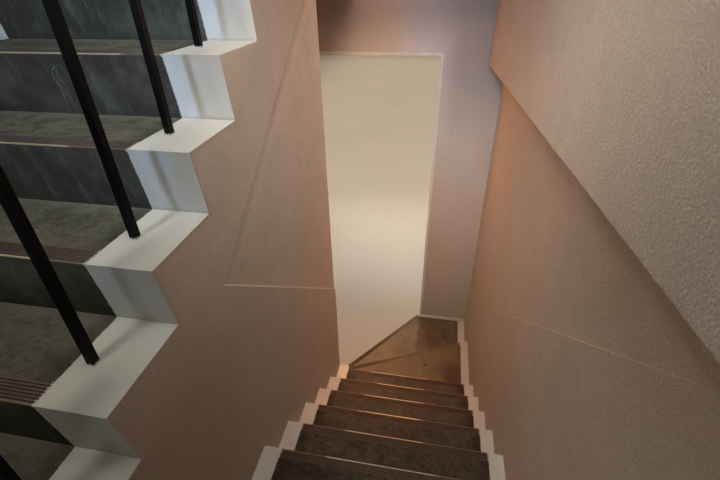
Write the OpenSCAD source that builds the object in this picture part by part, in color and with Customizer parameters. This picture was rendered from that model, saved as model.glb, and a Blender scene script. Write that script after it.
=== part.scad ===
// Concrete fire escape stair in a walled shaft, one storey high.
// A lower flight with two winders at its foot and an upper flight stand on
// either side of a spine wall and share a half landing.
// Millimetres, +Z up, +Y from the half landing towards the doorway in the end
// wall, origin on the floor in the middle of the plan, with the spine wall's
// face to the lower flight in the plane X = 0.

/* [Steps] */
// Height of each riser
riser = 190; // [175:1:195]
// Depth of each straight tread from nosing to nosing
going = 250; // [230:1:280]
// How far a nosing stands out over the foot of its own riser
rake = 25; // [10:1:35]
// Number of straight treads below the half landing
lower_steps = 6; // [4:1:8]
// Number of treads between the half landing and the top landing
upper_steps = 8; // [6:1:10]
// Thickness of the sloping slab under the steps, square to its soffit
waist_t = 150; // [120:5:180]
// Width of the painted margin along the outer walls
margin_w = 64; // [40:2:90]
// Width of the painted margin along the spine wall
spine_margin_w = 74; // [40:2:90]

/* [Winders] */
// Distance of the winders' centre behind the spine wall's face
winder_in = 238; // [190:2:280]
// Distance of the winders' centre past the last straight nosing
winder_past = 46; // [30:2:80]
// Angle of the upper winder's nosing to the straight nosings
winder_angle_1 = 25.1; // [20:0.1:32]
// Angle of the lower winder's nosing to the straight nosings
winder_angle_2 = 53.4; // [48:0.1:60]
// Distance from the last straight nosing to the end wall
corner_d = 1115; // [1050:5:1250]

/* [Landings] */
// Depth of the half landing in front of the upper flight
landing_d = 920; // [800:10:1200]
// Depth of the half landing to the first nosing of the lower flight
lower_landing_d = 1920; // [1700:5:2000]
// Thickness of the landings with their floor finish
slab_t = 210; // [200:5:260]
// Thickness of the floor finish on the landings
floor_t = 20; // [15:1:40]

/* [Shaft walls] */
// Clear width of the shaft on each side of the spine wall's face
bay_w = 1040; // [950:5:1150]
// Thickness of the outer walls
wall_t = 200; // [150:5:300]
// Thickness of the spine wall, which is also the width of its stepped top
spine_t = 175; // [140:5:200]
// How far the spine wall and its margin run past the last straight nosing
spine_past_d = 28; // [0:1:60]
// Depth of the wall panels behind the faces round them
recess_d = 8; // [4:1:20]
// Height of the ledges above the last straight nosing
ledge_foot_h = 783; // [700:1:860]
// Height of the spine wall's ledge line above the half landing's nosing
spine_ledge_h = 901; // [860:1:960]
// Height of the right wall's ledge line above the half landing's nosing
right_ledge_h = 833; // [780:1:900]
// Depth of the stepped string below the first nosing of the upper flight
string_foot_d = 340; // [300:5:380]
// Depth of the stepped string below the top landing at the spine wall's end
string_head_d = 130; // [100:5:180]
// How far the upper part of the right wall stands out from its panel
upper_out = 115; // [60:5:130]
// Height of the upper part's lower edge above the half landing, at the back
upper_back_h = 1290; // [1200:2:1340]
// Height of the upper part's lower edge above the half landing, at the end wall
upper_end_h = 937; // [860:1:970]
// Height of the left wall above the nosings and landings
parapet_h = 830; // [750:5:950]

/* [Doorway] */
// Distance from the right wall to the doorway's jamb
jamb_in = 452; // [400:2:500]
// Width of the doorway in the end wall
door_w = 1295; // [1100:5:1320]
// Height of the doorway
door_h = 2700; // [2400:10:2900]
// Width of the flat bead round the doorway
bead_w = 22; // [15:1:40]
// Thickness of the bead
bead_t = 4; // [2:1:8]
// Height of the skirting at the end wall's foot
skirting_h = 22; // [16:1:60]
// Thickness of the skirting, and how far it laps round the jamb's corner
skirting_t = 18; // [10:1:25]

/* [Nosing strips] */
// Thickness of each strip
strip_t = 7; // [5:0.5:10]
// Width of the smooth lip along the front edge
lip_w = 6; // [4:1:12]
// Number of ribs behind the lip on the upper flight
upper_ribs = 6; // [3:1:8]
// Number of ribs behind the lip on the lower flight and the winders
lower_ribs = 4; // [2:1:8]
// Spacing of the ribs
rib_pitch = 8.5; // [7:0.5:10]
// Width of each rib
rib_w = 4.5; // [3:0.5:6]
// Depth of the grooves between the ribs
groove_d = 2.5; // [1.5:0.5:3.5]

/* [Balustrade] */
// Width of each square baluster
bar_w = 19; // [15:1:32]
// Distance from the spine wall's face to the middle of the balusters
bar_in = 129; // [100:1:145]
// Distance of each baluster behind the nosing of its tread
bar_back = 126; // [100:1:150]
// Height of the handrail's underside above the nosings
rail_h = 860; // [800:5:950]
// Width of the handrail
rail_w = 48; // [40:1:60]
// Thickness of the handrail's flat core, under its rounded top
rail_core = 16; // [12:1:22]
// Rise of the handrail's rounded top
rail_crown = 12; // [8:1:16]
// How far the handrail runs past its first and last balusters
rail_past = 60; // [40:5:100]

/* [Paint and plaster] */
// Thickness of the white coat on the spine wall's stepped top
coat_t = 10; // [5:1:15]

/* [Hidden] */
WINDERS = 2;
pitch_r = riser / going;
half_z = riser * (lower_steps + WINDERS + 1);
top_z = half_z + riser * (upper_steps + 1);
waist_v = waist_t * sqrt(1 + pitch_r * pitch_r);
total_l = lower_landing_d + lower_steps * going + corner_d + wall_t;
back_y = -total_l / 2;
front_y = total_l / 2;
end_y = front_y - wall_t;
last_y = low_y(lower_steps);
foot_y = last_y - rake;
spine_y = last_y + spine_past_d;
outer_x = bay_w + wall_t;
lower_w = bay_w - spine_margin_w - margin_w;
upper_w = bay_w - margin_w - spine_t;
jamb_x = bay_w - jamb_in;
door_x = jamb_x - door_w;
strip_in = rake * strip_t / riser;
winder_c = [-winder_in, last_y + winder_past];
reach = 4 * bay_w;

// Place of the upper flight's nosing k, which is the top landing's past the last tread
function up_y(k) = back_y + landing_d - rake + (k - 1) * going;
function up_z(k) = half_z + k * riser;
// Place of the lower flight's nosing j, which is the half landing's at 0
function low_y(j) = back_y + lower_landing_d + j * going;
function low_z(j) = half_z - j * riser;
// Width of a nosing strip with the given number of ribs
function strip_w(ribs) = lip_w + ribs * rib_pitch;
// Height at y of the line through the upper flight's nosings
function up_line(y) = up_z(1) + (y - up_y(1)) * pitch_r;
// Height at y of the straight line through points a and b
function through(a, b, y) = a[1] + (b[1] - a[1]) * (y - a[0]) / (b[0] - a[0]);
// Point where the line through a and b crosses the line through c and d
function crossing(a, b, c, d) =
    let (m = (b[1] - a[1]) / (b[0] - a[0]), n = (d[1] - c[1]) / (d[0] - c[0]))
    let (y = (c[1] - a[1] + m * a[0] - n * c[0]) / (m - n))
    [y, through(a, b, y)];

// Ends of the lines that bound the wall panels, as [y, z]
string_a = [up_y(1), up_line(up_y(1)) - string_foot_d];
string_b = [spine_y, top_z - string_head_d];
spine_ledge_a = [low_y(0), half_z + spine_ledge_h];
spine_ledge_b = [spine_y, low_z(lower_steps) + ledge_foot_h];
right_ledge_a = [low_y(0), half_z + right_ledge_h];
right_ledge_b = [last_y, low_z(lower_steps) + ledge_foot_h];
upper_a = [back_y, half_z + upper_back_h];
upper_b = [end_y, half_z + upper_end_h];
spine_corner = crossing(string_a, string_b, spine_ledge_a, spine_ledge_b);
right_corner = crossing(right_ledge_a, right_ledge_b, upper_a, upper_b);

// Outline of one step as [y, z], with a seat for its nosing strip; dir is 1 where the steps rise along +Y
function step_outline(y, z, dir, ribs) = [
    [y + dir * strip_in, z - strip_t],
    [y + dir * strip_w(ribs), z - strip_t],
    [y + dir * strip_w(ribs), z],
    [y + dir * (going + rake), z],
    [y + dir * rake, z - riser]
];

// Outline of a ribbed strip that starts at the nosing and runs back over the tread
function strip_outline(y, z, dir, ribs) = concat(
    [[y + dir * strip_in, z - strip_t], [y + dir * strip_w(ribs), z - strip_t]],
    [for (i = [ribs:-1:1]) each [
        [y + dir * (lip_w + i * rib_pitch), z],
        [y + dir * (lip_w + i * rib_pitch - rib_w), z],
        [y + dir * (lip_w + i * rib_pitch - rib_w), z - groove_d],
        [y + dir * (lip_w + (i - 1) * rib_pitch), z - groove_d]
    ]],
    [[y + dir * lip_w, z], [y, z]]
);

// Stepped edge of each flight from its lowest to its highest corner, feet and nosings in turn
upper_edge = [for (k = [1:upper_steps]) each [[up_y(k) + rake, up_z(k - 1)], [up_y(k), up_z(k)]]];
lower_edge = [for (j = [lower_steps:-1:1]) each [[low_y(j) - rake, low_z(j + 1)], [low_y(j), low_z(j)]]];

// Corners where the sloping slabs meet the landings
upper_head = [up_y(upper_steps + 1) + rake, up_z(upper_steps)];
lower_head = [low_y(0) - rake, low_z(1)];
upper_sole = [
    upper_head,
    [upper_head[0], top_z - slab_t],
    [upper_head[0] + (riser - slab_t + waist_v) / pitch_r, top_z - slab_t],
    [up_y(1) + rake, half_z - waist_v]
];
lower_sole = [
    lower_head,
    [lower_head[0], half_z - slab_t],
    [lower_head[0] - (riser - slab_t + waist_v) / pitch_r, half_z - slab_t],
    [foot_y, low_z(lower_steps + 1) - waist_v]
];

// Prism with an outline in [y, z] that runs from x by the given width
module across(x, width, outline) {
    translate([x, 0, 0])
        rotate([90, 0, 90])
            linear_extrude(height = width)
                polygon(outline);
}

// Floor finish of a landing with its riser and the seat of its nosing strip, from y to the nosing at edge
module landing_floor(x, width, y, edge, z, dir, ribs) {
    foot = edge + dir * rake;
    across(x, width, [
        [y, z - floor_t],
        [y, z],
        [edge + dir * strip_w(ribs), z],
        [edge + dir * strip_w(ribs), z - strip_t],
        [edge + dir * strip_in, z - strip_t],
        [foot, z - riser],
        [foot + dir * floor_t, z - riser],
        [foot + dir * floor_t, z - floor_t]
    ]);
}

// Slab of a landing under its floor finish
module landing_slab(x, width, y, edge, z, dir) {
    foot = edge + dir * rake;
    across(x, width, [
        [y, z - slab_t],
        [foot, z - slab_t],
        [foot, z - riser],
        [foot + dir * floor_t, z - riser],
        [foot + dir * floor_t, z - floor_t],
        [y, z - floor_t]
    ]);
}

module half_landing() {
    color("darkgray") {
        landing_slab(0, bay_w, back_y, low_y(0), half_z, -1);
        translate([-bay_w, back_y, half_z - slab_t])
            cube([bay_w, landing_d, slab_t - floor_t]);
    }
}

module half_landing_floor() {
    color("dimgray") {
        landing_floor(0, bay_w, back_y, low_y(0), half_z, -1, lower_ribs);
        translate([-bay_w, back_y, half_z - floor_t])
            cube([bay_w, landing_d, floor_t]);
    }
}

module lower_waist() {
    color("darkgray")
        across(spine_margin_w, lower_w, concat([[foot_y, low_z(lower_steps + 1)]], lower_sole));
}

module lower_step(j) {
    color("dimgray")
        across(spine_margin_w, lower_w, step_outline(low_y(j), low_z(j), -1, lower_ribs));
}

// Margin whose foot ends at end, at the level of the last straight tread and of the winder below
module lower_margin(x, width, end) {
    sawtooth = [for (i = [2:len(lower_edge) - 1]) lower_edge[i]];
    color("gainsboro")
        across(x, width, concat(end, sawtooth, lower_sole));
}

// Square end flush with the spine wall's, and raked end like the risers
spine_margin_end = [
    [foot_y, low_z(lower_steps + 1)],
    [spine_y, low_z(lower_steps + 1)],
    [spine_y, low_z(lower_steps)]
];
wall_margin_end = [lower_edge[0], lower_edge[1]];

module upper_waist() {
    color("darkgray")
        across(margin_w - bay_w, upper_w, concat([[up_y(1) + rake, half_z]], upper_sole));
}

module upper_step(k) {
    color("dimgray")
        across(margin_w - bay_w, upper_w, step_outline(up_y(k), up_z(k), 1, upper_ribs));
}

module upper_margin() {
    color("gainsboro")
        across(-bay_w, margin_w, concat(upper_edge, upper_sole));
}

// Prism with an outline in [distance past the nosing, z] that runs along a winder's nosing at the given angle
module along_nosing(angle, outline) {
    translate([winder_c[0], winder_c[1], 0])
        rotate([0, 0, angle])
            across(-reach, 2 * reach, outline);
}

// Plan of the winder corner between x_a and x_b, up to level z
module corner_block(x_a, x_b, z) {
    linear_extrude(height = z)
        polygon([
            [max(x_a, 0), foot_y],
            [x_b, foot_y],
            [x_b, end_y],
            [x_a, end_y],
            [x_a, spine_y],
            [max(x_a, 0), spine_y]
        ]);
}

function winder_outline(z, seat) = concat(
    seat
        ? [[-strip_in, z - strip_t], [-strip_w(lower_ribs), z - strip_t], [-strip_w(lower_ribs), z]]
        : [[0, z]],
    [[-reach, z], [-reach, -riser], [-rake, -riser], [-rake, z - riser]]
);

// Upper winder between x_a and x_b
module winder_upper(x_a, x_b, seat) {
    intersection() {
        corner_block(x_a, x_b, 2 * riser);
        along_nosing(winder_angle_1, winder_outline(2 * riser, seat));
    }
}

// What the upper winder takes from the lower one
module upper_winder_block() {
    along_nosing(winder_angle_1, [[-rake, -riser], [-rake, 2 * riser], [-reach, 2 * riser], [-reach, -riser]]);
}

module winder_step_1() {
    color("rosybrown")
        winder_upper(-spine_t, bay_w - margin_w, true);
}

module winder_step_2() {
    color("rosybrown")
        difference() {
            intersection() {
                corner_block(-spine_t, bay_w - margin_w, riser);
                along_nosing(winder_angle_2, winder_outline(riser, true));
            }
            upper_winder_block();
        }
}

module winder_margin() {
    color("gainsboro") {
        corner_block(bay_w - margin_w, bay_w, riser);
        winder_upper(bay_w - margin_w, bay_w, false);
    }
}

// The upper flight's stepped edge from the half landing to its last nosing
stepped_top = concat(upper_edge, [upper_head, [up_y(upper_steps + 1), top_z], [end_y, top_z]]);
coat_under = [for (p = stepped_top) [min(p[0] + coat_t, end_y), p[1] - coat_t]];

module spine_string() {
    color("tan")
        across(-spine_t, spine_t, concat(
            [[up_y(1) + rake, half_z]],
            coat_under,
            [[end_y, top_z - slab_t], [spine_y, top_z - slab_t], string_b],
            [[up_y(1) + rake, through(string_a, string_b, up_y(1) + rake)]]
        ));
}

module spine_coat() {
    color("whitesmoke")
        across(-spine_t, spine_t, concat(
            stepped_top,
            [for (i = [len(coat_under) - 1:-1:0]) coat_under[i]]
        ));
}

module spine_dado() {
    color("tan")
        across(-spine_t, spine_t, [
            [up_y(1) + rake, 0],
            [up_y(1) + rake, through(string_a, string_b, up_y(1) + rake)],
            spine_corner,
            spine_ledge_b,
            [spine_y, 0]
        ]);
}

module spine_panel() {
    color("wheat")
        across(recess_d - spine_t, spine_t - 2 * recess_d, [spine_corner, string_b, spine_ledge_b]);
}

module top_landing() {
    color("darkgray")
        landing_slab(-bay_w, bay_w - spine_t, end_y, up_y(upper_steps + 1), top_z, 1);
}

module top_landing_floor() {
    color("dimgray")
        landing_floor(-bay_w, bay_w - spine_t, end_y, up_y(upper_steps + 1), top_z, 1, upper_ribs);
}

module right_wall_dado() {
    color("tan")
        across(bay_w, wall_t, [
            [back_y, 0],
            [end_y, 0],
            [end_y, through(right_ledge_a, right_ledge_b, end_y)],
            right_corner,
            upper_a
        ]);
}

module right_wall_panel() {
    color("wheat")
        across(bay_w + recess_d, wall_t - recess_d, [
            [end_y, through(right_ledge_a, right_ledge_b, end_y)],
            upper_b,
            right_corner
        ]);
}

module right_wall_upper() {
    color("tan")
        across(bay_w + recess_d - upper_out, wall_t - recess_d + upper_out, [
            upper_a,
            upper_b,
            [end_y, top_z],
            [back_y, top_z]
        ]);
}

module left_wall() {
    color("tan")
        across(-outer_x, wall_t, [
            [back_y, 0],
            [end_y, 0],
            [end_y, top_z + parapet_h],
            [up_y(upper_steps + 1), top_z + parapet_h],
            [up_y(0), half_z + parapet_h],
            [back_y, half_z + parapet_h]
        ]);
}

module end_wall_part(x_a, x_b, z_a) {
    color("mistyrose")
        translate([x_a, end_y, z_a])
            cube([x_b - x_a, wall_t, top_z - z_a]);
}

module end_wall_right() {
    end_wall_part(jamb_x, outer_x, 0);
}

module end_wall_left() {
    end_wall_part(-outer_x, door_x, 0);
}

module end_wall_header() {
    end_wall_part(door_x, jamb_x, door_h);
}

module end_skirting() {
    color("white")
        translate([jamb_x - skirting_t, end_y - skirting_t, riser])
            cube([bay_w - jamb_x + skirting_t, skirting_t, skirting_h]);
}

// Bead on the end wall's inner face, up one jamb, over the doorway and down the other
module doorway_bead() {
    color("white")
        translate([0, end_y, 0])
            rotate([90, 0, 0])
                linear_extrude(height = bead_t)
                    polygon([
                        [jamb_x + bead_w, riser + skirting_h],
                        [jamb_x + bead_w, door_h + bead_w],
                        [door_x - bead_w, door_h + bead_w],
                        [door_x - bead_w, 0],
                        [door_x, 0],
                        [door_x, door_h],
                        [jamb_x, door_h],
                        [jamb_x, riser + skirting_h]
                    ]);
}

module lower_nosings() {
    color("sienna") {
        across(0, bay_w, strip_outline(low_y(0), half_z, -1, lower_ribs));
        for (j = [1:lower_steps])
            across(spine_margin_w, lower_w, strip_outline(low_y(j), low_z(j), -1, lower_ribs));
    }
}

module upper_nosings() {
    color("sienna") {
        for (k = [1:upper_steps])
            across(margin_w - bay_w, upper_w, strip_outline(up_y(k), up_z(k), 1, upper_ribs));
        across(-bay_w, bay_w - spine_t, strip_outline(up_y(upper_steps + 1), top_z, 1, upper_ribs));
    }
}

module winder_nosings() {
    color("sienna") {
        intersection() {
            corner_block(-spine_t, bay_w - margin_w, 2 * riser);
            along_nosing(winder_angle_1, strip_outline(0, 2 * riser, -1, lower_ribs));
        }
        difference() {
            intersection() {
                corner_block(-spine_t, bay_w - margin_w, riser);
                along_nosing(winder_angle_2, strip_outline(0, riser, -1, lower_ribs));
            }
            upper_winder_block();
        }
    }
}

// Square bar from z up to the handrail's underside, whose height at y is given by under_a and under_b
module baluster(y, z, under_a, under_b) {
    across(-bar_in - bar_w / 2, bar_w, [
        [y - bar_w / 2, z],
        [y + bar_w / 2, z],
        [y + bar_w / 2, under_b],
        [y - bar_w / 2, under_a]
    ]);
}

module flight_balusters() {
    color("black")
        for (k = [1:upper_steps])
            baluster(
                up_y(k) + bar_back,
                up_z(k),
                up_line(up_y(k) + bar_back - bar_w / 2) + rail_h,
                up_line(up_y(k) + bar_back + bar_w / 2) + rail_h
            );
}

// Balusters on the top landing, evenly spaced from its nosing to the end wall
landing_first = up_y(upper_steps + 1) + bar_back;
landing_last = end_y - rail_past;
landing_gaps = ceil((landing_last - landing_first) / going);

module landing_balusters() {
    color("black")
        for (i = [0:landing_gaps])
            baluster(
                landing_first + i * (landing_last - landing_first) / landing_gaps,
                top_z,
                top_z + rail_h,
                top_z + rail_h
            );
}

// Place where the sloping and the level handrail meet
knee_y = up_y(upper_steps + 1);

// Section of the handrail, flat below and round above
rail_section = concat(
    [[-bar_w / 2, 0], [bar_w / 2, 0], [rail_w / 2, rail_core / 2]],
    [for (t = [0:15:180]) [rail_w / 2 * cos(t), rail_core + rail_crown * sin(t)]],
    [[-rail_w / 2, rail_core / 2]]
);

// Ring of the handrail's section at [y, z], where the rail's normal leans by the given angle
function rail_ring(y, z, lean, stretch) = [
    for (p = rail_section) [p[0] - bar_in, y - p[1] * stretch * sin(lean), z + p[1] * stretch * cos(lean)]
];

module handrail() {
    slope = atan(pitch_r);
    start_y = up_y(1) + bar_back - rail_past;
    n = len(rail_section);
    rings = concat(
        rail_ring(start_y, up_line(start_y) + rail_h, slope, 1),
        rail_ring(knee_y, top_z + rail_h, slope / 2, 1 / cos(slope / 2)),
        rail_ring(end_y, top_z + rail_h, 0, 1)
    );
    sides = [
        for (r = [0:1], i = [0:n - 1])
            [r * n + i, (r + 1) * n + i, (r + 1) * n + (i + 1) % n, r * n + (i + 1) % n]
    ];
    color("black")
        polyhedron(rings, concat([[for (i = [0:n - 1]) i]], sides, [[for (i = [n - 1:-1:0]) 2 * n + i]]));
}

half_landing();
half_landing_floor();
lower_waist();
lower_step(1);  // lower_step_1
lower_step(2);  // lower_step_2
lower_step(3);  // lower_step_3
lower_step(4);  // lower_step_4
lower_step(5);  // lower_step_5
lower_step(6);  // lower_step_6
lower_margin(0, spine_margin_w, spine_margin_end);  // lower_margin_spine
lower_margin(bay_w - margin_w, margin_w, wall_margin_end);  // lower_margin_wall
winder_step_1();
winder_step_2();
winder_margin();
upper_waist();
upper_step(1);  // upper_step_1
upper_step(2);  // upper_step_2
upper_step(3);  // upper_step_3
upper_step(4);  // upper_step_4
upper_step(5);  // upper_step_5
upper_step(6);  // upper_step_6
upper_step(7);  // upper_step_7
upper_step(8);  // upper_step_8
upper_margin();
spine_string();
spine_coat();
spine_dado();
spine_panel();
top_landing();
top_landing_floor();
right_wall_dado();
right_wall_panel();
right_wall_upper();
left_wall();
end_wall_right();
end_wall_left();
end_wall_header();
end_skirting();
doorway_bead();
lower_nosings();
upper_nosings();
winder_nosings();
flight_balusters();
landing_balusters();
handrail();
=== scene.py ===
"""Looks of the fire escape stair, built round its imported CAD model."""

import math

import bpy
from mathutils import Matrix, Vector


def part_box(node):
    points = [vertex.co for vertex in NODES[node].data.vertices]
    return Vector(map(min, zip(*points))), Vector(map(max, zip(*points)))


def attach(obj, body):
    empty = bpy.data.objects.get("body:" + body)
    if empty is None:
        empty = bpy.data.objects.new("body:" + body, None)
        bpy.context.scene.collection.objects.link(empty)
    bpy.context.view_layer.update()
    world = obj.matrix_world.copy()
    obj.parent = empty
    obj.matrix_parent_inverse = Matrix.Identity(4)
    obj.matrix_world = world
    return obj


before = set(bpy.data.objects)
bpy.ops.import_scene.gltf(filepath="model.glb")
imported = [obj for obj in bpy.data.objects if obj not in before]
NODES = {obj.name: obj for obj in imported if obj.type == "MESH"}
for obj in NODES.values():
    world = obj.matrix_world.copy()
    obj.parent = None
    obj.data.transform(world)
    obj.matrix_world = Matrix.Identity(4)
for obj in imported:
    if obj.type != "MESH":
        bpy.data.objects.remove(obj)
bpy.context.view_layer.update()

# Camera fitted to the step corners: place in metres, angles in radians, focal length in pixels
CAMERA_AT = Vector((0.618, -1.1425, 3.235))
YAW, PITCH, ROLL = 0.193, 0.572, -0.019
FOCAL_PX = 420.5
IMAGE_W_PX = 720
SENSOR_MM = 36.0
CLIP_START = 0.01

# Measures of the stair, read from the CAD nodes
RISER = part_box("upper_step_2")[1].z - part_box("upper_step_1")[1].z
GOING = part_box("upper_step_2")[0].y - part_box("upper_step_1")[0].y
UPPER_Y, UPPER_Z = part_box("upper_nosings")[0].y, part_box("upper_step_1")[1].z
LOWER_Y, LOWER_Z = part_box("lower_nosings")[1].y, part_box("lower_step_6")[1].z
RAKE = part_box("upper_step_1")[1].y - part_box("upper_step_1")[0].y - GOING
UPPER_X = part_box("upper_step_1")[0].x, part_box("upper_step_1")[1].x
LOWER_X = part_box("lower_step_1")[0].x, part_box("lower_step_1")[1].x
END_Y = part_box("end_skirting")[1].y
JAMB_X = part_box("end_wall_right")[0].x
DOOR_MID_X = 0.5 * (JAMB_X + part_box("end_wall_left")[1].x)
TOP_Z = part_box("top_landing_floor")[1].z
PANEL_LOW, PANEL_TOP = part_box("spine_panel")

# The spine panel's raked upper edge and the ledge under it, each as a point [y, z] and a slope
RAKED_LINE = (PANEL_TOP.y, PANEL_TOP.z), 0.6776
LEDGE_LINE = (PANEL_TOP.y, PANEL_LOW.z), -0.8233
# Pivot of the winders' nosings and their angles in degrees, the upper winder's first
WINDER_PIVOT, WINDER_ANGLES = (-0.238, 1.0985), (25.1, 53.4)
# A plane left of the whole stair, for finishes that darken and take paint along the right wall only
FAR_LEFT_X = -1.0

# Stretch of a noise along X, Y and Z
EVEN = (1.0, 1.0, 1.0)
PLASTER_STRETCH = (0.9, 0.9, 1.2)

# Colours that several finishes share
BEIGE_PALE, BEIGE_DEEP = (0.622, 0.562, 0.522), (0.565, 0.503, 0.462)
LAPPED_PAINT = (0.66, 0.66, 0.63)

# Floor and studio surround: half the floor's side in metres, colour, strength at the horizon and overhead, and
# the sine of the elevation above which the surround is dim
FLOOR_HALF = 30.0
WORLD_COLOUR = (1.0, 1.0, 0.99)
WORLD_LOW, WORLD_HIGH = 0.27, 0.04
WORLD_DIM_FROM = 0.25


def shade(colour, share):
    return tuple(share * c for c in colour)


def between(one, other):
    return tuple(0.5 * (a + b) for a, b in zip(one, other))


class Graph:
    """Node tree of one material; points are in the stair's own frame, in metres."""

    def __init__(self, name, specular):
        self.material = bpy.data.materials.new(name)
        self.material.use_nodes = True
        tree = self.material.node_tree
        self.nodes, self.links = tree.nodes, tree.links
        self.shader = next(n for n in self.nodes if n.type == "BSDF_PRINCIPLED")
        self.shader.inputs["Specular IOR Level"].default_value = specular
        self.point = self.nodes.new("ShaderNodeTexCoord").outputs["Object"]
        self.x, self.y, self.z = self.split(self.point)
        normal = self.nodes.new("ShaderNodeNewGeometry").outputs["True Normal"]
        self.nx, self.ny, self.nz = self.split(normal)

    def put(self, socket, value):
        if isinstance(value, bpy.types.NodeSocket):
            self.links.new(value, socket)
        elif isinstance(value, (tuple, list)) and len(value) == 3 and socket.type == "RGBA":
            socket.default_value = (*value, 1.0)
        else:
            socket.default_value = value

    def split(self, vector):
        node = self.nodes.new("ShaderNodeSeparateXYZ")
        self.put(node.inputs[0], vector)
        return node.outputs

    def math(self, operation, a, b=0.0, c=0.0):
        node = self.nodes.new("ShaderNodeMath")
        node.operation = operation
        for socket, value in zip(node.inputs, (a, b, c)):
            self.put(socket, value)
        return node.outputs[0]

    def add(self, a, b):
        return self.math("ADD", a, b)

    def sub(self, a, b):
        return self.math("SUBTRACT", a, b)

    def mul(self, a, b):
        return self.math("MULTIPLY", a, b)

    def size(self, a):
        return self.math("ABSOLUTE", a)

    def rest(self, a, step):
        """What is left of a value above the last whole step."""
        return self.math("FLOORED_MODULO", a, step)

    def most(self, a, b):
        return self.math("MAXIMUM", a, b)

    def least(self, a, b):
        return self.math("MINIMUM", a, b)

    def flip(self, a):
        return self.sub(1.0, a)

    def ease(self, value, low, high, out_low=0.0, out_high=1.0):
        """Smooth rise from out_low to out_high as the value goes from low to high."""
        node = self.nodes.new("ShaderNodeMapRange")
        node.interpolation_type = "SMOOTHSTEP"
        for socket, given in zip(node.inputs, (value, low, high, out_low, out_high)):
            self.put(socket, given)
        return node.outputs[0]

    def moved(self, stretch, seed, turn=(0.0, 0.0, 0.0)):
        """The point, stretched and turned, and set off by a step of its own for each seed."""
        node = self.nodes.new("ShaderNodeMapping")
        self.put(node.inputs["Vector"], self.point)
        node.inputs["Location"].default_value = (seed * 1.7, seed * 3.1, seed * 2.3)
        node.inputs["Rotation"].default_value = turn
        node.inputs["Scale"].default_value = stretch
        return node.outputs[0]

    def noise(self, scale, detail=2.0, rough=0.5, stretch=EVEN, seed=0.0, warp=0.0, turn=(0.0, 0.0, 0.0)):
        """Cloudy noise from 0 to 1, with about scale clouds a metre."""
        node = self.nodes.new("ShaderNodeTexNoise")
        self.put(node.inputs["Vector"], self.moved(stretch, seed, turn))
        node.inputs["Scale"].default_value = scale
        node.inputs["Detail"].default_value = detail
        node.inputs["Roughness"].default_value = rough
        node.inputs["Distortion"].default_value = warp
        return node.outputs[0]

    def cells(self, scale, feature="F1", stretch=EVEN, seed=0.0):
        """Distance to the middle of the nearest of about scale cells a metre."""
        node = self.nodes.new("ShaderNodeTexVoronoi")
        node.feature = feature
        self.put(node.inputs["Vector"], self.moved(stretch, seed))
        node.inputs["Scale"].default_value = scale
        return node.outputs["Distance"]

    def mix(self, share, a, b):
        node = self.nodes.new("ShaderNodeMix")
        node.data_type = "RGBA"
        self.put(node.inputs["Factor"], share)
        colours = [s for s in node.inputs if s.type == "RGBA"]
        self.put(colours[0], a)
        self.put(colours[1], b)
        return next(s for s in node.outputs if s.type == "RGBA")

    def done(self, colour, roughness, height, depth, strength):
        """Finish the material; depth is in metres for a height of 1."""
        self.put(self.shader.inputs["Base Color"], colour)
        self.put(self.shader.inputs["Roughness"], roughness)
        bump = self.nodes.new("ShaderNodeBump")
        bump.inputs["Strength"].default_value = strength
        bump.inputs["Distance"].default_value = depth
        self.put(bump.inputs["Height"], height)
        self.links.new(bump.outputs[0], self.shader.inputs["Normal"])
        return self.material

    def spots(self, scale, size, seed, share=0.5):
        """Sparse round specks: their cells are kept where a coarse noise is high."""
        near = self.ease(self.cells(scale, seed=seed), size, size * 0.55)
        return self.mul(near, self.ease(self.noise(scale * 0.23, seed=seed + 1), share, share + 0.08))

    def facing_up(self):
        return self.ease(self.nz, 0.4, 0.6)

    def level(self):
        """Whole number of risers up to the tread at or next above the point."""
        return self.math("CEIL", self.sub(self.math("DIVIDE", self.z, RISER), 0.01))

    def under(self):
        """Distance below the tread at or next above the point."""
        return self.sub(self.mul(self.level(), RISER), self.z)

    def behind_upper(self):
        """Distance behind the upper flight's nosing, for a point on a tread or riser."""
        k = self.sub(self.level(), round(UPPER_Z / RISER))
        return self.sub(self.y, self.add(self.mul(k, GOING), UPPER_Y))

    def behind_lower(self):
        """The same on the lower flight, which climbs the other way."""
        j = self.sub(self.level(), round(LOWER_Z / RISER))
        return self.sub(self.sub(LOWER_Y, self.mul(j, GOING)), self.y)

    def behind_winder(self):
        """Distance behind the winders' nosings, which radiate from one pivot."""
        out = []
        for angle in WINDER_ANGLES:
            turn = math.radians(angle)
            across = self.mul(self.sub(self.x, WINDER_PIVOT[0]), math.sin(turn))
            out.append(self.sub(across, self.mul(self.sub(self.y, WINDER_PIVOT[1]), math.cos(turn))))
        upper = self.ease(self.z, 1.4 * RISER, 1.5 * RISER)
        return self.add(self.mul(upper, out[0]), self.mul(self.flip(upper), out[1]))

    def inside(self, ends):
        """Distance inside the nearer of two planes across X."""
        return self.least(self.sub(self.x, ends[0]), self.sub(ends[1], self.x))

    def below(self, line):
        """Distance under a line that is given as a point [y, z] and a slope."""
        (y, z), slope = line
        return self.sub(self.add(self.mul(self.sub(self.y, y), slope), z), self.z)


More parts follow.
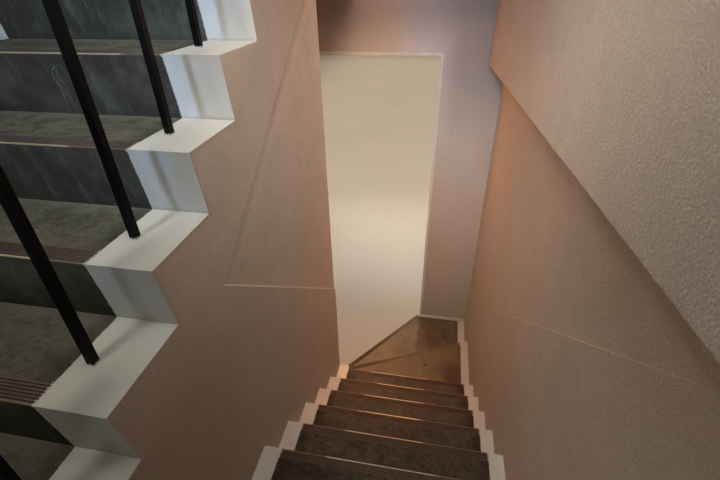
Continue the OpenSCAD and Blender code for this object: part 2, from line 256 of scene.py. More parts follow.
def stucco(name, up_face_highlight=0.9, soil_and_shade=0.62, raked_line=None, ledge_line=None):
    """Orange-peel plaster. The raked line has a painted shadow below it and a painted band of light under that,
    and the ledge line a painted highlight along it. The first share is that of a painted highlight on faces
    that look up, and the second that of warm soiling with painted shade low down at the stair's near end."""
    g = Graph(name, specular=0.3)
    cloud = g.ease(g.noise(1.4, 4, 0.6), 0.35, 0.65)
    patch = g.ease(g.noise(11.0, 4, 0.62, seed=4), 0.42, 0.68)
    fine = g.noise(260.0, 2, 0.6, PLASTER_STRETCH, seed=1)
    grain = g.ease(g.noise(150.0, 2, 0.5, PLASTER_STRETCH, seed=7), 0.30, 0.70)
    peel = g.ease(g.cells(168.0, "SMOOTH_F1", PLASTER_STRETCH, seed=2), 0.05, 0.6)
    colour = g.mix(cloud, BEIGE_DEEP, BEIGE_PALE)
    colour = g.mix(g.mul(patch, 0.25), colour, shade(BEIGE_DEEP, 0.86))
    pits = g.mul(g.ease(g.add(fine, g.mul(peel, 0.35)), 0.62, 0.78), 0.30)
    colour = g.mix(pits, colour, shade(BEIGE_DEEP, 0.58))
    rub = g.mul(g.ease(g.noise(5.0, 5, 0.7, (0.5, 0.5, 2.5), seed=9), 0.60, 0.75), 0.18)
    colour = g.mix(rub, colour, (0.33, 0.29, 0.25))
    # Warm soiling with painted shade, low down at the stair's near end
    if soil_and_shade:
        soil_and_shade_mask = g.mul(g.ease(g.y, 0.4, -0.7, 0.0, soil_and_shade), g.ease(g.z, 2.65, 2.15))
        colour = g.mix(soil_and_shade_mask, colour, (0.36, 0.26, 0.16))
    # Painted highlight: faces that look up are paler
    colour = g.mix(g.ease(g.nz, 0.3, 0.7, 0.0, up_face_highlight), colour, (0.92, 0.88, 0.83))
    # Painted shadow below the raked line, and a painted band of light under that
    if raked_line:
        below = g.below(raked_line)
        soft = g.mul(g.noise(7.0, 3, 0.5, seed=12), 0.012)
        dark_band = g.ease(g.sub(below, soft), 0.054, 0.034, 0.0, 0.24)
        colour = g.mix(dark_band, colour, shade(BEIGE_DEEP, 0.45))
        pale_band = g.ease(g.size(g.sub(below, 0.090)), 0.040, 0.0, 0.0, 0.14)
        colour = g.mix(pale_band, colour, (0.78, 0.70, 0.63))
    # Painted highlight along the ledge line
    if ledge_line:
        uneven = g.mul(g.noise(40.0, 3, 0.6, seed=15), 0.004)
        rim = g.ease(g.add(g.below(ledge_line), uneven), 0.0100, 0.0070)
        colour = g.mix(g.mul(rim, 0.62), colour, (0.95, 0.90, 0.84))
    height = g.add(g.add(g.mul(fine, 0.9), g.mul(grain, 0.5)), g.mul(peel, -0.32))
    return g.done(colour, g.ease(patch, 0, 1, 0.72, 0.86), height, depth=0.0017, strength=0.76)


def white_paint(name, face_colour=None):
    """Gloss paint on concrete; face_colour covers the faces across X, where the wall's own coat laps over."""
    g = Graph(name, specular=0.45)
    top = g.facing_up()
    side = g.flip(top)
    cloud = g.ease(g.noise(4.0, 4, 0.6), 0.35, 0.70)
    colour = g.mix(cloud, (0.76, 0.775, 0.77), (0.82, 0.83, 0.825))
    runs = g.ease(g.noise(9.0, 4, 0.65, (2.2, 2.2, 0.5), seed=2), 0.45, 0.75, 0, 0.45)
    colour = g.mix(g.mul(side, runs), colour, (0.60, 0.61, 0.59))
    scuff = g.mul(top, g.ease(g.noise(26.0, 5, 0.7, (1, 0.45, 1), seed=5), 0.60, 0.74, 0, 0.30))
    colour = g.mix(scuff, colour, (0.50, 0.50, 0.47))
    above_tread = g.sub(g.rest(g.z, RISER), g.mul(g.noise(34, 3), 0.012))
    foot = g.mul(side, g.ease(above_tread, 0.006, -0.004))
    colour = g.mix(g.mul(foot, 0.5), colour, (0.42, 0.41, 0.38))
    colour = g.mix(g.mul(g.spots(75.0, 0.14, 11.0, 0.60), 0.6), colour, (0.30, 0.28, 0.25))
    if face_colour:
        # Painted shade: the side faces darken lower down
        painted_shade = g.mul(side, g.ease(g.z, 2.95, 2.25, 0.0, 0.95))
        colour = g.mix(painted_shade, colour, (0.48, 0.472, 0.41))
        colour = g.mix(g.ease(g.size(g.nx), 0.6, 0.8), colour, face_colour)
    height = g.add(g.mul(g.noise(150.0, 2, 0.5, (1, 0.35, 1)), 0.5), g.noise(22.0, 3, 0.5, seed=3))
    return g.done(colour, g.ease(cloud, 0, 1, 0.42, 0.56), height, depth=0.0011, strength=0.55)


def worn_paint_edge(g, colour, ends, reach, seed):
    """White paint that bleeds unevenly over the edges next to the margins, with a few drops."""
    inside = g.inside(ends)
    edge = g.mul(g.noise(70.0, 3, 0.65, seed=seed), reach)
    bleed = g.ease(g.sub(inside, edge), 0.0004, -0.0012)
    drops = g.mul(g.spots(120.0, 0.20, seed + 2.0, 0.55), g.ease(inside, 0.035, 0.010))
    return g.mix(g.most(bleed, drops), colour, LAPPED_PAINT)


def tread_top(g, ends, back, blotch, colours, dust_and_light, seed):
    """Colour of the walked surface; back is the distance behind the nosing."""
    pale, mid, deep, dust = colours
    cloud = g.ease(g.noise(4.2, 5, 0.62, seed=seed), 0.34, 0.66)
    grain = g.noise(62.0, 5, 0.72, seed=seed + 12)
    colour = g.mix(cloud, mid, pale)
    colour = g.mix(g.mul(blotch, 0.80), colour, deep)
    colour = g.mix(g.ease(g.noise(34.0, 4, 0.7, seed=seed + 6), 0.56, 0.72, 0, 0.35), colour, dust)
    smears = g.ease(g.noise(7.0, 5, 0.7, (0.7, 1.5, 1), seed=seed + 10, warp=0.8), 0.54, 0.74, 0, 0.45)
    colour = g.mix(smears, colour, shade(dust, 0.8))
    colour = g.mix(g.ease(grain, 0.50, 0.36, 0, 0.55), colour, shade(deep, 0.55))
    colour = g.mix(g.ease(grain, 0.54, 0.70, 0, 0.45), colour, between(pale, dust))
    uneven = g.mul(g.sub(g.noise(24.0, 4, 0.6, seed=seed + 8), 0.5), 0.05)
    back_dust = g.ease(g.add(back, uneven), GOING - 0.035, GOING + 0.012)
    colour = g.mix(g.mul(back_dust, 0.45), colour, dust)
    joint = g.ease(back, GOING + RAKE - 0.0055, GOING + RAKE - 0.0025)
    filled = g.ease(g.noise(6.0, 3, 0.6, (1, 0, 0), seed=seed), 0.40, 0.60, 0.25, 0.85)
    colour = g.mix(g.mul(joint, filled), colour, dust)
    # Dust and painted light: paler between two levels
    colour = g.mix(g.ease(g.z, dust_and_light[0], dust_and_light[1], 0.0, dust_and_light[2]), colour, dust)
    wavy = g.mul(g.noise(12.0, 4, 0.6, seed=seed + 1), 0.12)
    # Darker towards the ends
    darker_ends = g.ease(g.sub(g.inside(ends), wavy), 0.020, -0.040)
    colour = g.mix(g.mul(darker_ends, 0.5), colour, shade(deep, 0.50))
    # Painted shadow line where the tread meets the margins
    return g.mix(g.ease(g.inside(ends), 0.007, 0.003, 0, 0.7), colour, shade(deep, 0.25))


def tread_riser(g, pale, deep, dust, seed, dark_z):
    """Colour of the risers, with slanted scuffs and darker edges."""
    scuffs = g.ease(g.noise(10.0, 5, 0.74, (2.4, 1, 0.50), seed=seed + 2, turn=(0, 0.30, 0)), 0.47, 0.74)
    streaks = g.ease(g.noise(42.0, 3, 0.6, (1.5, 1, 0.13), seed=seed + 4, turn=(0, 0.22, 0)), 0.66, 0.78)
    smear = g.ease(g.noise(7.0, 4, 0.6, (0.9, 1, 1.3), seed=seed + 7), 0.42, 0.70)
    colour = g.mix(smear, deep, between(deep, pale))
    colour = g.mix(g.mul(scuffs, 0.85), colour, pale)
    colour = g.mix(g.mul(streaks, 0.28), colour, dust)
    colour = g.mix(g.ease(g.under(), RISER - 0.030, RISER, 0, 0.5), colour, deep)
    # Painted shade: the risers darken between the levels of dark_z
    if dark_z:
        colour = g.mix(g.ease(g.z, *dark_z, 0.0, 0.62), colour, shade(deep, 0.25))
    return colour


def tread(name, ends, behind, top_colours, riser_colours, dust, dust_and_light, seed, dark_z=None):
    """Trowelled concrete: mottled treads with dust at the back, and dark scuffed risers. The top's colours are
    the pale, middle and deep one, and the risers' the pale and deep one. Dust and painted light pale the top
    from a first level down to a second, up to a share, given in that order; painted shade darkens risers
    between the levels of dark_z."""
    g = Graph(name, specular=0.15)
    blotch = g.ease(g.noise(10.0, 5, 0.68, (1, 1.3, 1), seed=seed + 3, warp=0.6), 0.40, 0.66)
    on_top = tread_top(g, ends, behind(g), blotch, (*top_colours, dust), dust_and_light, seed)
    on_riser = tread_riser(g, *riser_colours, dust, seed, dark_z)
    colour = worn_paint_edge(g, g.mix(g.facing_up(), on_riser, on_top), ends, 0.007, seed + 9)
    fine = g.noise(120.0, 3, 0.6, seed=seed + 5)
    height = g.add(g.mul(fine, 0.5), g.mul(g.noise(38.0, 4, 0.6, seed=seed + 2), 0.9))
    return g.done(colour, g.ease(blotch, 0, 1, 0.62, 0.80), height, depth=0.0016, strength=0.6)


def landing_finish(name, node, seed):
    """The treads' trowelled finish over a whole landing, darker along its sides."""
    low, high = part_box(node)
    past_side, mid_tread, no_dust_or_light = 0.012, 0.1, (1.0, 0.0, 0.0)
    return tread(
        name, (low.x - past_side, high.x + past_side), lambda g: mid_tread,
        ((0.270, 0.252, 0.210), (0.205, 0.192, 0.158), (0.125, 0.117, 0.095)),
        ((0.200, 0.188, 0.160), (0.120, 0.112, 0.092)), (0.34, 0.32, 0.275), no_dust_or_light, seed,
    )


def winder_concrete():
    """Bare concrete, darker on the upper winder and by the right wall, with a painted jamb shadow, specks and a
    round blot.
    """
    g = Graph("winder_concrete", specular=0.35)
    cloud = g.ease(g.noise(5.0, 5, 0.62), 0.34, 0.66)
    colour = g.mix(cloud, (0.28, 0.205, 0.135), (0.39, 0.295, 0.20))
    blotch = g.ease(g.noise(21.0, 5, 0.68, seed=3, warp=0.5), 0.52, 0.74, 0, 0.5)
    colour = g.mix(blotch, colour, (0.27, 0.20, 0.135))
    upper = g.ease(g.z, 1.2 * RISER, 1.5 * RISER, 0.0, 0.26)
    colour = g.mix(upper, colour, (0.0, 0.0, 0.0))
    # A blotchy painted shadow of the jamb in the corner beside the doorway, then darker on the upper winder
    # beside the right wall
    corner = g.ease(g.sub(g.x, g.mul(g.noise(13.0, 4, 0.6, seed=5), 0.08)), JAMB_X - 0.07, JAMB_X - 0.02)
    near_end_wall = g.ease(g.add(g.y, g.mul(g.noise(9.0, 4, 0.65, seed=6), 0.30)), END_Y - 0.62, END_Y - 0.10)
    jamb_shadow = g.mul(g.mul(corner, near_end_wall), g.ease(g.noise(9.0, 5, 0.7, seed=8), 0.30, 0.66, 0.98, 0.55))
    colour = g.mix(jamb_shadow, colour, (0.13, 0.105, 0.075))
    beside = g.ease(g.sub(g.x, g.mul(g.noise(11.0, 4, 0.65, seed=14), 0.16)), 0.70, 0.82)
    low = g.mul(g.ease(g.y, 1.50, 1.32), g.ease(g.z, 1.2 * RISER, 1.5 * RISER))
    colour = g.mix(g.mul(g.mul(beside, low), 0.85), colour, (0.10, 0.075, 0.055))
    # Round blot, about 30 mm across
    blot_x, blot_y = 0.676, 1.355
    dx, dy = g.sub(g.x, blot_x), g.sub(g.y, blot_y)
    away = g.math("SQRT", g.add(g.mul(dx, dx), g.mul(dy, dy)))
    away = g.add(away, g.mul(g.noise(60.0, 3, 0.6, seed=16), 0.010))
    colour = g.mix(g.ease(away, 0.019, 0.013, 0.0, 0.9), colour, (0.05, 0.035, 0.028))
    rim = g.ease(g.under(), 0.012, 0.002)
    wavy = g.mul(g.noise(22.0, 4, 0.65, seed=2), 0.05)
    side = g.ease(g.sub(g.inside((FAR_LEFT_X, LOWER_X[1])), wavy), 0.020, -0.016)
    colour = g.mix(g.mul(side, 0.55), colour, (0.15, 0.12, 0.085))
    colour = g.mix(g.mul(g.spots(46.0, 0.18, 6.0, 0.55), 0.8), colour, (0.10, 0.07, 0.05))
    colour = g.mix(g.mul(g.flip(g.facing_up()), g.mul(rim, 0.4)), colour, (0.55, 0.47, 0.36))
    height = g.add(g.mul(g.noise(130.0, 3, 0.6), 0.5), g.noise(30.0, 4, 0.6, seed=4))
    return g.done(colour, g.ease(cloud, 0, 1, 0.62, 0.78), height, depth=0.0018, strength=0.6)


def plain_concrete():
    """Structural slabs, with the seams of the boards that they were cast on."""
    g = Graph("structural_concrete", specular=0.3)
    board_w, seam_from, seam_to = 0.15, 0.0720, 0.0745
    cloud = g.ease(g.noise(2.6, 5, 0.6), 0.34, 0.66)
    colour = g.mix(cloud, (0.36, 0.34, 0.31), (0.47, 0.45, 0.41))
    runs = g.ease(g.noise(14.0, 5, 0.68, (1, 1, 0.6), seed=2), 0.55, 0.75, 0, 0.4)
    colour = g.mix(runs, colour, (0.29, 0.27, 0.24))
    colour = g.mix(g.mul(g.spots(60.0, 0.20, 3.0, 0.52), 0.8), colour, (0.17, 0.16, 0.14))
    boards = g.ease(g.size(g.sub(g.rest(g.x, board_w), 0.5 * board_w)), seam_from, seam_to)
    height = g.add(g.add(g.mul(g.noise(110.0, 3, 0.6), 0.4), g.noise(26.0, 4, 0.6, seed=4)), g.mul(boards, 0.9))
    return g.done(colour, g.ease(cloud, 0, 1, 0.72, 0.88), height, depth=0.0016, strength=0.7)


def end_wall_paint():
    """Smooth cool paint, with painted warm light low down and high beside the jamb, and painted shade high up.
    """
    g = Graph("end_wall_paint", specular=0.4)
    cloud = g.ease(g.noise(1.8, 4, 0.6), 0.35, 0.65)
    colour = g.mix(cloud, (0.62, 0.575, 0.545), (0.69, 0.645, 0.61))
    runs = g.ease(g.noise(12.0, 4, 0.65, (1, 1, 0.35), seed=3), 0.56, 0.78, 0, 0.35)
    colour = g.mix(runs, colour, (0.50, 0.46, 0.43))
    low = g.ease(g.sub(g.z, g.mul(g.noise(8.0, 4, 0.6, seed=5), 0.35)), 0.35, 0.02)
    colour = g.mix(g.mul(low, 0.30), colour, (0.42, 0.36, 0.31))
    # Painted warm light: warmer low down, and high beside the jamb
    colour = g.mix(g.ease(g.z, 2.4, 1.1, 0.0, 0.8), colour, (0.63, 0.51, 0.415))
    high = g.mul(g.ease(g.x, JAMB_X - 0.05, JAMB_X + 0.15, 0.0, 0.6), g.ease(g.z, 2.5, 2.9))
    colour = g.mix(high, colour, (0.69, 0.56, 0.45))
    # Painted shade on the inner face, high up and towards the corner right of the jamb
    overhead = g.ease(g.z, 2.68, 3.02, 0.0, 0.60)
    painted_shade = g.most(overhead, g.ease(g.x, JAMB_X - 0.02, JAMB_X + 0.16, 0.0, 0.42))
    inner = g.mul(g.ease(g.ny, -0.3, -0.7), g.ease(g.z, 1.9, 2.6))
    colour = g.mix(g.mul(painted_shade, inner), colour, (0.22, 0.185, 0.16))
    height = g.add(g.mul(g.noise(190.0, 2, 0.5), 0.6), g.mul(g.noise(35.0, 3, 0.5, seed=2), 0.6))
    return g.done(colour, g.ease(cloud, 0, 1, 0.50, 0.62), height, depth=0.0010, strength=0.5)


def trim_paint():
    """White gloss on the skirting and the doorway's bead, worn and chipped."""
    g = Graph("skirting_paint", specular=0.5)
    worn = g.ease(g.noise(30.0, 4, 0.65), 0.40, 0.72)
    colour = g.mix(worn, (0.84, 0.83, 0.80), (0.72, 0.70, 0.66))
    colour = g.mix(g.mul(g.spots(90.0, 0.22, 2.0, 0.52), 0.8), colour, (0.30, 0.26, 0.22))
    height = g.add(g.noise(60.0, 3, 0.5, (1, 1, 0.3)), g.mul(g.noise(200.0, 2), 0.3))
    return g.done(colour, g.ease(worn, 0, 1, 0.32, 0.50), height, depth=0.0008, strength=0.5)


def nosing(name, ends, behind, ribs, dirt, lip_colour, glint_x, seed, fade_to=None, dark_z=None):
    """Ceramic ribs with dirt in the grooves and a brass lip, which has a painted highlight between two planes
    across X. The ribs' colours are the pale and the deep one; they fade to a colour towards the right wall, or
    darken between the levels of dark_z."""
    g = Graph(name, specular=0.4)
    rib_pale, rib_deep = ribs
    under = g.under()
    groove = g.ease(under, 0.0007, 0.0018)
    cloud = g.ease(g.noise(9.0, 4, 0.62, (1, 0.6, 1), seed=seed), 0.35, 0.68)
    colour = g.mix(cloud, rib_deep, rib_pale)
    worn = g.ease(g.noise(55.0, 4, 0.7, (0.5, 1, 1), seed=seed + 2), 0.56, 0.74, 0, 0.5)
    colour = g.mix(worn, colour, shade(rib_deep, 0.55))
    colour = g.mix(g.mul(groove, dirt), colour, (0.035, 0.028, 0.024))
    if fade_to:
        colour = g.mix(g.ease(g.x, 0.12, 0.50, 0.0, 0.85), colour, fade_to)
    if dark_z:
        colour = g.mix(g.ease(g.z, *dark_z, 0.0, 0.72), colour, shade(rib_deep, 0.36))
    colour = worn_paint_edge(g, colour, ends, 0.013, seed + 4)
    height = g.add(g.mul(g.noise(170.0, 3, 0.6), 0.5), g.noise(45.0, 3, 0.5, seed=3))
    tarnish = g.ease(g.noise(22.0, 3, 0.6, (0.25, 1, 1), seed=seed + 6), 0.46, 0.72)
    lip = g.mul(g.ease(behind(g), 0.0052, 0.0044), g.ease(under, 0.0036, 0.0028))
    ragged = g.mul(g.sub(g.noise(5.0, 3, 0.6, seed=seed + 7), 0.5), 0.30)
    # Painted highlight: the brass lip shines only between two planes across X
    glint_spread = g.ease(g.add(g.inside(glint_x), ragged), -0.01, 0.03, 0.15, 1.0)
    bright = g.mul(glint_spread, g.ease(g.noise(60.0, 3, 0.6, (1, 0.5, 0.5), seed=seed + 8), 0.22, 0.32))
    brass = g.mul(lip, bright)
    colour = g.mix(brass, colour, g.mix(tarnish, lip_colour, shade(lip_colour, 0.72)))
    g.put(g.shader.inputs["Metallic"], g.mul(brass, 0.45))
    return g.done(colour, g.ease(brass, 0, 1, 0.58, 0.36), height, depth=0.0007, strength=0.5)


def black_metal():
    """Black paint on square bars, with white paint lapping up their feet."""
    g = Graph("black_metal", specular=0.07)
    cloud = g.ease(g.noise(18.0, 4, 0.6, (1, 1, 0.3)), 0.35, 0.68)
    colour = g.mix(cloud, (0.003, 0.003, 0.0033), (0.008, 0.008, 0.0085))
    colour = g.mix(g.mul(g.spots(150.0, 0.14, 5.0, 0.60), 0.35), colour, (0.20, 0.19, 0.18))
    nosing_line = g.add(g.mul(g.sub(g.y, UPPER_Y), RISER / GOING), UPPER_Z)
    low = g.ease(g.sub(g.z, g.least(nosing_line, TOP_Z + 0.1)), -0.060, -0.070)
    above_tread = g.sub(g.rest(g.add(g.z, 0.001), RISER), g.mul(g.noise(130.0, 3, seed=2), 0.011))
    foot = g.ease(above_tread, 0.0015, -0.0010)
    colour = g.mix(g.mul(g.mul(low, foot), 0.8), colour, (0.62, 0.62, 0.59))
    height = g.add(g.mul(g.noise(210.0, 2, 0.5), 0.5), g.noise(48.0, 3, 0.5, (1, 1, 0.3), seed=3))
    return g.done(colour, g.ease(cloud, 0, 1, 0.42, 0.58), height, depth=0.0008, strength=0.5)


def chalk():
    """Chalky scratches, patchily worn off."""
    g = Graph("scratch", specular=0.2)
    fade = g.ease(g.noise(90.0, 3, 0.6), 0.35, 0.65)
    colour = g.mix(fade, (0.22, 0.22, 0.20), (0.62, 0.62, 0.60))
    return g.done(colour, g.ease(fade, 0, 1, 0.75, 0.90), g.noise(400.0, 2), depth=0.0003, strength=0.4)


def pale_floor():
    g = Graph("floor", specular=0.2)
    cloud = g.ease(g.noise(0.9, 3, 0.5), 0.3, 0.7)
    colour = g.mix(cloud, (0.70, 0.68, 0.65), (0.73, 0.71, 0.68))
    return g.done(colour, g.ease(cloud, 0, 1, 0.75, 0.80), g.noise(30.0, 2), depth=0.0005, strength=0.2)


def wear(material, *names):
    """Give the named CAD nodes a material."""
    for name in names:
        mesh = NODES[name].data
        mesh.materials.clear()
        mesh.materials.append(material)


wear(stucco("stucco"), "spine_string", "left_wall")
wear(
    stucco("right_stucco", up_face_highlight=0.12, soil_and_shade=0.0),
    "right_wall_dado", "right_wall_panel", "right_wall_upper",
)
wear(stucco("shaded_stucco", raked_line=RAKED_LINE), "spine_panel")
wear(stucco("ledge_stucco", ledge_line=LEDGE_LINE), "spine_dado")
wear(end_wall_paint(), "end_wall_right", "end_wall_left", "end_wall_header")
wear(white_paint("white_paint"), "lower_margin_spine", "lower_margin_wall", "winder_margin", "upper_margin")
wear(white_paint("coat_paint", shade(BEIGE_DEEP, 0.80)), "spine_coat")
upper_tread = tread(
    "upper_tread", UPPER_X, Graph.behind_upper,
    ((0.195, 0.192, 0.152), (0.138, 0.137, 0.108), (0.078, 0.078, 0.063)),
    ((0.167, 0.163, 0.137), (0.064, 0.061, 0.048)),
    (0.28, 0.278, 0.245), (2.85, 2.45, 0.12), seed=1.0, dark_z=(2.64, 2.34),
)
lower_tread = tread(
    "lower_tread", LOWER_X, Graph.behind_lower,
    ((0.108, 0.086, 0.062), (0.074, 0.058, 0.040), (0.043, 0.034, 0.025)),
    ((0.085, 0.075, 0.065), (0.030, 0.027, 0.023)),
    (0.27, 0.24, 0.20), (1.7, 0.6, 0.22), seed=21.0,
)
wear(upper_tread, *["upper_step_%d" % k for k in range(1, 9)])
wear(lower_tread, *["lower_step_%d" % j for j in range(1, 7)])
wear(landing_finish("half_landing_finish", "half_landing_floor", 41.0), "half_landing_floor")
wear(landing_finish("top_landing_finish", "top_landing_floor", 57.0), "top_landing_floor")
wear(winder_concrete(), "winder_step_1", "winder_step_2")
wear(plain_concrete(), "half_landing", "lower_waist", "upper_waist", "top_landing")
upper_nosing = nosing(
    "upper_nosing", UPPER_X, Graph.behind_upper, ((0.330, 0.258, 0.240), (0.220, 0.165, 0.152)), dirt=0.90,
    lip_colour=(0.98, 0.84, 0.56), glint_x=(-2.0, -0.33), seed=2.0, dark_z=(2.35, 2.60),
)
lower_nosing = nosing(
    "lower_nosing", LOWER_X, Graph.behind_lower, ((0.145, 0.091, 0.068), (0.108, 0.066, 0.051)), dirt=0.22,
    lip_colour=(0.98, 0.84, 0.72), glint_x=(0.28, 0.69), seed=5.0,
)
winder_nosing = nosing(
    "winder_nosing", (FAR_LEFT_X, LOWER_X[1]), Graph.behind_winder,
    ((0.16, 0.10, 0.072), (0.12, 0.075, 0.055)), dirt=0.5,
    lip_colour=(0.75, 0.58, 0.42), glint_x=(-1.0, -0.9), seed=8.0, fade_to=(0.30, 0.22, 0.15),
)
wear(upper_nosing, "upper_nosings")
wear(lower_nosing, "lower_nosings")
wear(winder_nosing, "winder_nosings")
wear(trim_paint(), "end_skirting", "doorway_bead")
wear(black_metal(), "flight_balusters", "landing_balusters", "handrail")


# Scratches on the upper flight's risers: step whose riser it is, width, and points as x and distance below the
# nosing
SCRATCHES = [
    (7, 0.0016, [
        (-0.5236, 0.0529), (-0.5328, 0.0383), (-0.5484, 0.0386), (-0.5670, 0.0508), (-0.5739, 0.0659),
        (-0.5721, 0.0812), (-0.5684, 0.0997), (-0.5706, 0.1315), (-0.5760, 0.1579), (-0.5760, 0.1780),
        (-0.5800, 0.1870),
    ]),
    (7, 0.0010, [(-0.5480, 0.0470), (-0.5560, 0.0560), (-0.5590, 0.0700)]),
    (8, 0.0012, [(-0.7033, 0.1436), (-0.7002, 0.1596), (-0.6948, 0.1792)]),
    (8, 0.0008, [(-0.6935, 0.1500), (-0.6900, 0.1700), (-0.6880, 0.1860)]),
    (8, 0.0012, [(-0.5943, 0.0671), (-0.5906, 0.0789), (-0.5892, 0.0939)]),
    (5, 0.0010, [(-0.3600, 0.0500), (-0.3480, 0.0760), (-0.3430, 0.1050)]),
]
SCRATCH_PROUD = 0.0004
SPANS_PER_POINT = 6


def smooth_line(points):
    """The points joined by a Catmull-Rom curve."""
    smooth = []
    ring = [points[0], *points, points[-1]]
    for a, b, c, d in zip(ring, ring[1:], ring[2:], ring[3:]):
        for n in range(SPANS_PER_POINT):
            t = n / SPANS_PER_POINT
            smooth.append(tuple(
                0.5 * (
                    2 * q + (r - p) * t + (2 * p - 5 * q + 4 * r - s) * t * t + (3 * q - p - 3 * r + s) * t ** 3
                )
                for p, q, r, s in zip(a, b, c, d)
            ))
    smooth.append(points[-1])
    return smooth


def make_scratch(index, step, width, points, material):
    """Chalky line lying on a riser, as a ribbon of uneven width with sharp ends."""
    line = smooth_line(points)
    proud = Vector((0.0, -RISER, -RAKE)).normalized() * SCRATCH_PROUD
    vertices = []
    for n, (x, drop) in enumerate(line):
        before, after = line[max(n - 1, 0)], line[min(n + 1, len(line) - 1)]
        along = Vector((after[0] - before[0], after[1] - before[1])).normalized()
        taper = math.sin(math.pi * (n + 0.4) / (len(line) - 0.2)) ** 0.5
        half = 0.5 * width * taper * (0.75 + 0.25 * math.sin(2.3 * n + index))
        for side in (-half, half):
            across, down = x - side * along.y, drop + side * along.x
            y = UPPER_Y + (step - 1) * GOING + RAKE * down / RISER
            vertices.append(Vector((across, y, UPPER_Z + (step - 1) * RISER - down)) + proud)
    faces = [(2 * n, 2 * n + 1, 2 * n + 3, 2 * n + 2) for n in range(len(line) - 1)]
    mesh = bpy.data.meshes.new("scratch_%d" % index)
    mesh.from_pydata(vertices, [], faces)
    mesh.materials.append(material)
    scratch = bpy.data.objects.new("scratch_%d" % index, mesh)
    bpy.context.scene.collection.objects.link(scratch)
    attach(scratch, "root")


scratch_material = chalk()
for index, (step, width, points) in enumerate(SCRATCHES, 1):
    make_scratch(index, step, width, points, scratch_material)


def make_camera():
    forward = Vector((-math.sin(YAW) * math.cos(PITCH), math.cos(YAW) * math.cos(PITCH), -math.sin(PITCH)))
    level_right = Vector((math.cos(YAW), math.sin(YAW), 0.0))
    level_up = level_right.cross(forward)
    right = math.cos(ROLL) * level_right + math.sin(ROLL) * level_up
    up = math.cos(ROLL) * level_up - math.sin(ROLL) * level_right
    data = bpy.data.cameras.new("camera")
    data.sensor_width = SENSOR_MM
    data.lens = FOCAL_PX / IMAGE_W_PX * SENSOR_MM
    data.clip_start = CLIP_START
    camera = bpy.data.objects.new("camera", data)
    turn = Matrix((right, up, -forward)).transposed().to_4x4()
    camera.matrix_world = Matrix.Translation(CAMERA_AT) @ turn
    bpy.context.scene.collection.objects.link(camera)
    bpy.context.scene.camera = camera


def make_floor():
    mesh = bpy.data.meshes.new("floor")
    r = FLOOR_HALF
    mesh.from_pydata([(-r, -r, 0), (r, -r, 0), (r, r, 0), (-r, r, 0)], [], [(0, 1, 2, 3)])
    mesh.materials.append(pale_floor())
    floor = bpy.data.objects.new("floor", mesh)
    bpy.context.scene.collection.objects.link(floor)


DOORWAY_LIGHT_AT = (DOOR_MID_X - 0.2, END_Y + 0.1, 2.3)
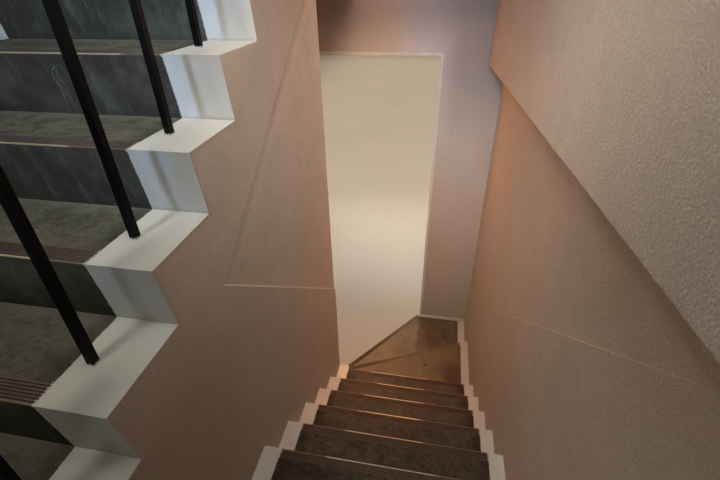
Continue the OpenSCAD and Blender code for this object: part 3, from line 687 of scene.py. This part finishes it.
# Name, place, aim, width and height in metres, power in watts, colour, spread in degrees
LIGHTS = [
    ("behind_near", (-0.34, -1.55, 4.7), (-0.15, 0.1, 2.6), 0.36, 0.36, 3.2, (1.0, 0.90, 0.70), 90.0),
    ("behind_far", (-0.64, -3.0, 4.7), (-0.14, 0.2, 3.54), 0.34, 0.34, 4.5, (0.31, 0.60, 1.0), 44.0),
    ("cross", (-0.8, 0.2, 5.0), (0.9, 0.0, 3.0), 0.8, 0.8, 1.4, (1.0, 0.97, 0.60), 80.0),
    ("along_wall", (0.36, -0.55, 4.9), (0.925, -0.40, 2.5), 0.3, 0.7, 1.25, (0.93, 1.0, 0.97), 50.0),
    ("on_spine", (0.88, -0.5, 4.4), (0.0, 0.2, 2.9), 0.5, 0.5, 2.1, (1.0, 0.88, 0.69), 60.0),
    ("spine_end", (0.80, 1.85, 3.0), (0.0, 0.95, 2.9), 0.3, 0.3, 1.5, (1.0, 0.61, 0.44), 80.0),
    ("header", (0.1, 0.4, 3.7), (0.0, 2.19, 2.85), 0.3, 0.3, 1.35, (1.0, 0.63, 0.47), 50.0),
    ("down_flight", (0.5, -1.0, 3.7), (0.75, 2.16, 1.6), 0.5, 0.5, 3.7, (1.0, 0.81, 0.63), 50.0),
    ("flight_foot", (0.60, 1.5, 3.1), (0.02, 0.9, 0.8), 0.3, 0.3, 1.6, (1.0, 0.35, 0.10), 60.0),
    ("doorway", DOORWAY_LIGHT_AT, (0.6, 0.9, 1.9), 0.9, 0.5, 11.0, (1.0, 0.34, 0.05), 180.0),
    ("corner_step", (-0.30, 2.6, 1.5), (0.05, 1.05, 0.5), 0.3, 0.3, 0.4, (1.0, 0.55, 0.22), 40.0),
    ("left_side", (-4.6, 0.2, 2.2), (-1.24, 0.2, 1.7), 3.4, 2.6, 72.0, (1.0, 1.0, 0.98), 180.0),
    ("right_side", (4.6, 0.2, 2.2), (1.24, 0.2, 1.7), 3.4, 2.6, 72.0, (1.0, 1.0, 0.98), 180.0),
    ("far_end", (0.3, 5.6, 2.2), (0.3, 2.37, 1.6), 3.0, 2.6, 36.0, (1.0, 0.87, 0.69), 120.0),
    ("far_floor", (-0.2, 11.5, 5.0), (-0.2, 11.5, 0.0), 9.0, 16.0, 290.0, (1.0, 0.79, 0.56), 60.0),
    ("near_end", (0.0, -5.6, 2.2), (0.0, -2.37, 1.4), 3.0, 2.6, 3.2, (1.0, 1.0, 0.95), 180.0),
    ("left_floor", (-10.6, -1.0, 5.0), (-10.6, -1.0, 0.0), 11.0, 27.0, 560.0, (1.0, 0.98, 0.95), 70.0),
    ("right_floor", (10.6, -1.0, 5.0), (10.6, -1.0, 0.0), 11.0, 27.0, 560.0, (1.0, 0.98, 0.95), 70.0),
    ("near_floor", (0.0, -11.0, 5.0), (0.0, -11.0, 0.0), 10.0, 12.0, 110.0, (1.0, 0.98, 0.95), 60.0),
    ("near_end_low", (0.0, -4.4, 1.6), (0.0, -2.37, 0.45), 3.0, 0.35, 20.0, (1.0, 1.0, 0.97), 70.0),
]


def area_light(name, at, towards, width, height, power, colour, spread):
    data = bpy.data.lights.new(name, "AREA")
    data.shape = "RECTANGLE"
    data.size, data.size_y = width, height
    data.energy = power
    data.color = colour
    data.spread = math.radians(spread)
    lamp = bpy.data.objects.new(name, data)
    lamp.location = at
    lamp.rotation_mode = "QUATERNION"
    lamp.rotation_quaternion = (Vector(towards) - Vector(at)).to_track_quat("-Z", "Y")
    lamp.visible_camera = False
    bpy.context.scene.collection.objects.link(lamp)


def make_world():
    """Soft studio surround, bright round the horizon and dim overhead."""
    world = bpy.data.worlds.new("world")
    bpy.context.scene.world = world
    world.use_nodes = True
    nodes, links = world.node_tree.nodes, world.node_tree.links
    height = nodes.new("ShaderNodeSeparateXYZ")
    links.new(nodes.new("ShaderNodeTexCoord").outputs["Generated"], height.inputs[0])
    ramp = nodes.new("ShaderNodeMapRange")
    ramp.interpolation_type = "SMOOTHSTEP"
    for socket, value in zip(ramp.inputs, (0.0, 0.0, WORLD_DIM_FROM, WORLD_LOW, WORLD_HIGH)):
        socket.default_value = value
    links.new(height.outputs[2], ramp.inputs[0])
    nodes["Background"].inputs[0].default_value = (*WORLD_COLOUR, 1.0)
    links.new(ramp.outputs[0], nodes["Background"].inputs[1])


make_camera()
make_floor()
for light in LIGHTS:
    area_light(*light)
make_world()
bpy.context.scene.view_settings.view_transform = "Standard"
